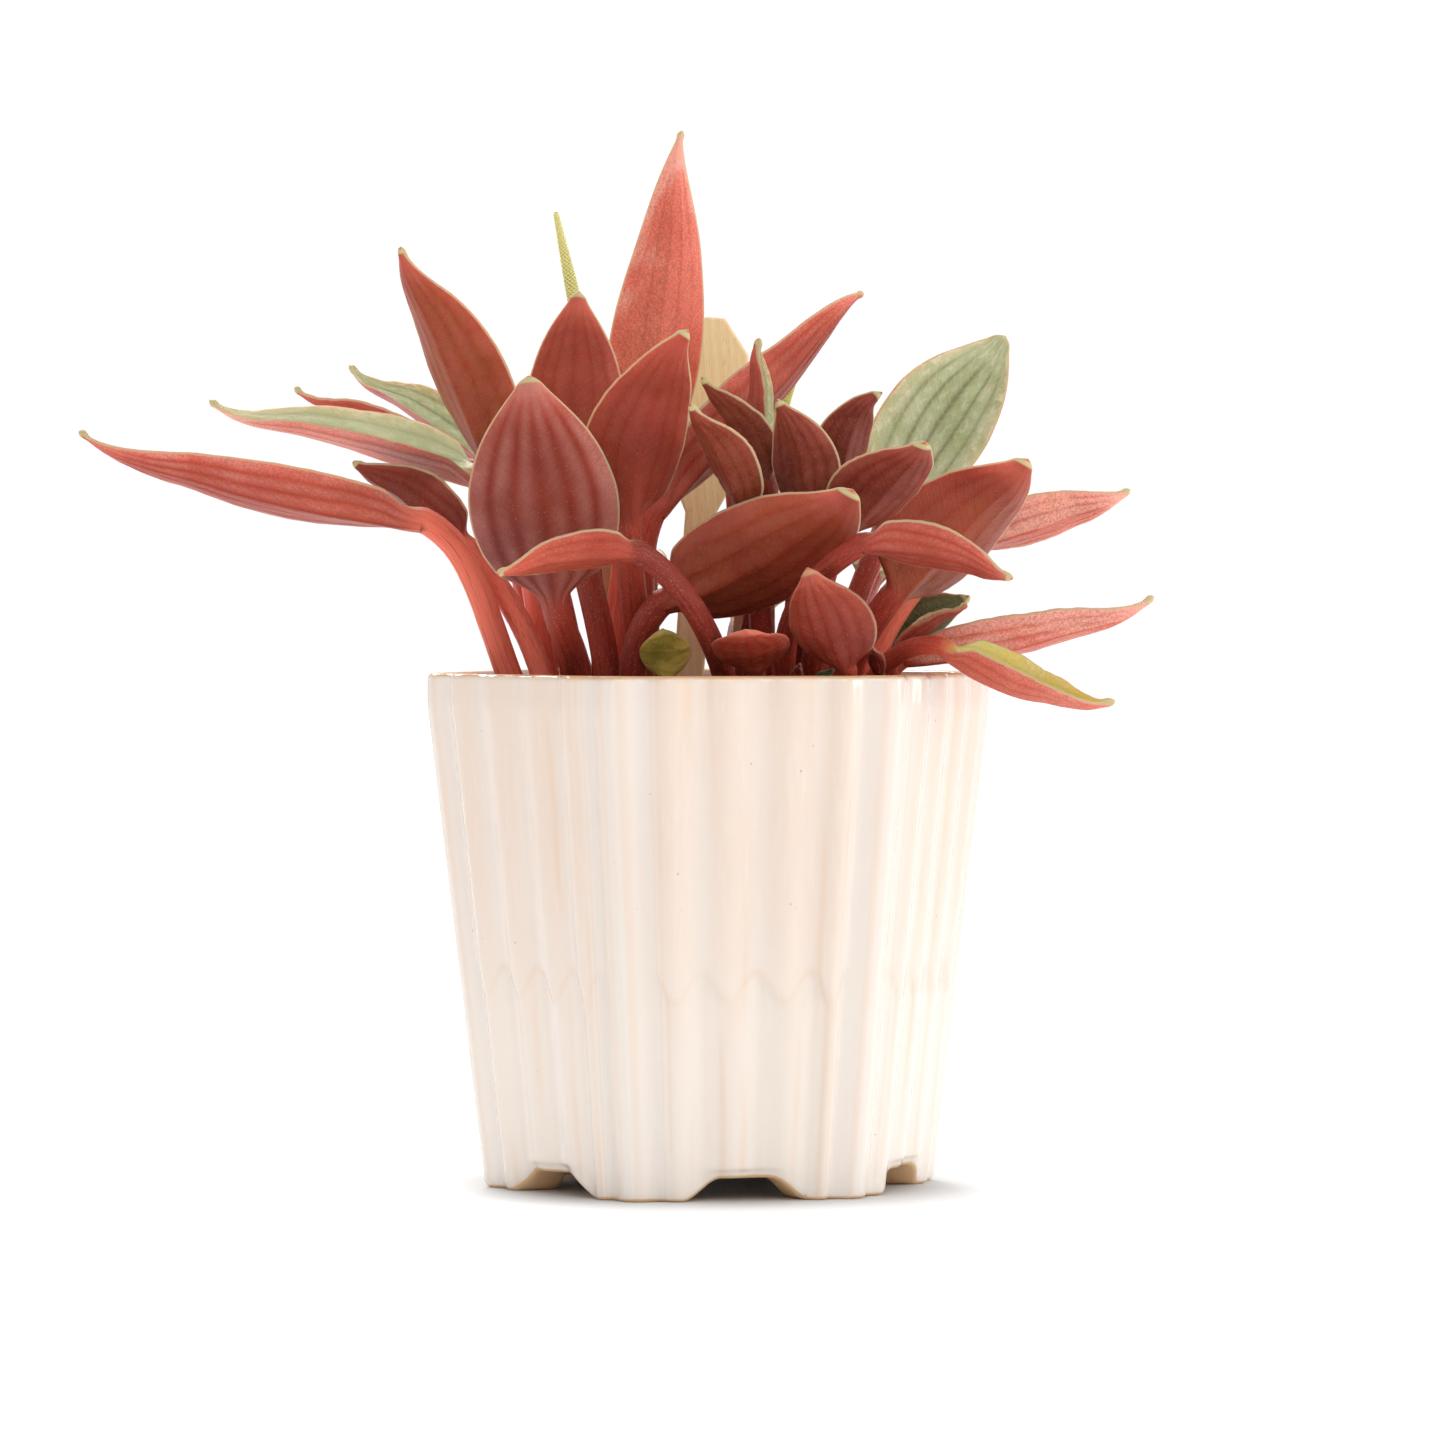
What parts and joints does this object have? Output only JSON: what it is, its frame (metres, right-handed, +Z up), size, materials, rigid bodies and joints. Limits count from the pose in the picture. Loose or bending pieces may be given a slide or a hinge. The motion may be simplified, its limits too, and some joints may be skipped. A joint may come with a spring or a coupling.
{
  "type": "potted ripple peperomia",
  "caption": "Ripple peperomia with narrow red-backed leaves, growing in a cream glazed six-sided fluted pot on low feet.",
  "frame": {"origin": "centre of the underside of the whole object's bounding box, on the surface that the pot stands on; the pot's own axis is 18 mm to the +X side of it", "axes": "+Z up, -Y towards the viewer of the plant's show side, +X to that viewer's right"},
  "size_m": [0.2054, 0.1335, 0.2026],
  "materials": {
    "glaze": "glossy cream glazed stoneware",
    "peat": "rough moist peat",
    "crown": "fleshy stem base",
    "red_leaf": "satin fleshy leaf, red below and grey green above",
    "green_leaf": "satin fleshy leaf, grey green above and red below",
    "spike": "finely dotted flower spike",
    "wood": "plain sanded wood"
  },
  "bodies": {
    "root": {"pot": "glaze", "soil": "peat", "crown_left": "crown", "crown_right": "crown", "plant_label": "wood", "flower_spike_left": "spike", "flower_spike_right": "spike", "leaf_far_left": "red_leaf", "leaf_left_green": "green_leaf", "leaf_left_upper_rear": "green_leaf", "leaf_left_rear": "red_leaf", "leaf_left_inner": "red_leaf", "leaf_upper_left": "red_leaf", "leaf_front_left": "red_leaf", "leaf_front_small_left": "red_leaf", "leaf_front_centre": "red_leaf", "leaf_upper_centre_left": "red_leaf", "leaf_upper_centre": "red_leaf", "leaf_tallest": "red_leaf", "leaf_long_right": "red_leaf", "leaf_narrow_upright": "red_leaf", "leaf_dark_edge": "red_leaf", "leaf_inner_left": "red_leaf", "leaf_inner_right": "red_leaf", "leaf_hooked_right": "red_leaf", "leaf_right_centre": "red_leaf", "leaf_right_green": "green_leaf", "leaf_right_broad": "red_leaf", "leaf_far_right": "red_leaf", "leaf_front_small_right": "red_leaf", "leaf_low_right": "red_leaf", "leaf_front_young": "red_leaf", "leaf_over_rim": "red_leaf", "leaf_low_green": "green_leaf", "leaf_low_red": "red_leaf", "leaf_ball_young": "red_leaf", "leaf_low_golden": "green_leaf", "bud_right": "red_leaf", "leaf_rear_left_low": "red_leaf", "leaf_rear_left": "red_leaf", "leaf_rear_centre": "red_leaf", "leaf_rear_centre_low": "red_leaf", "leaf_rear_right_inner": "red_leaf", "leaf_rear_right": "red_leaf", "leaf_rear_right_outer": "red_leaf", "leaf_rear_low": "red_leaf"}
  },
  "joints": []
}
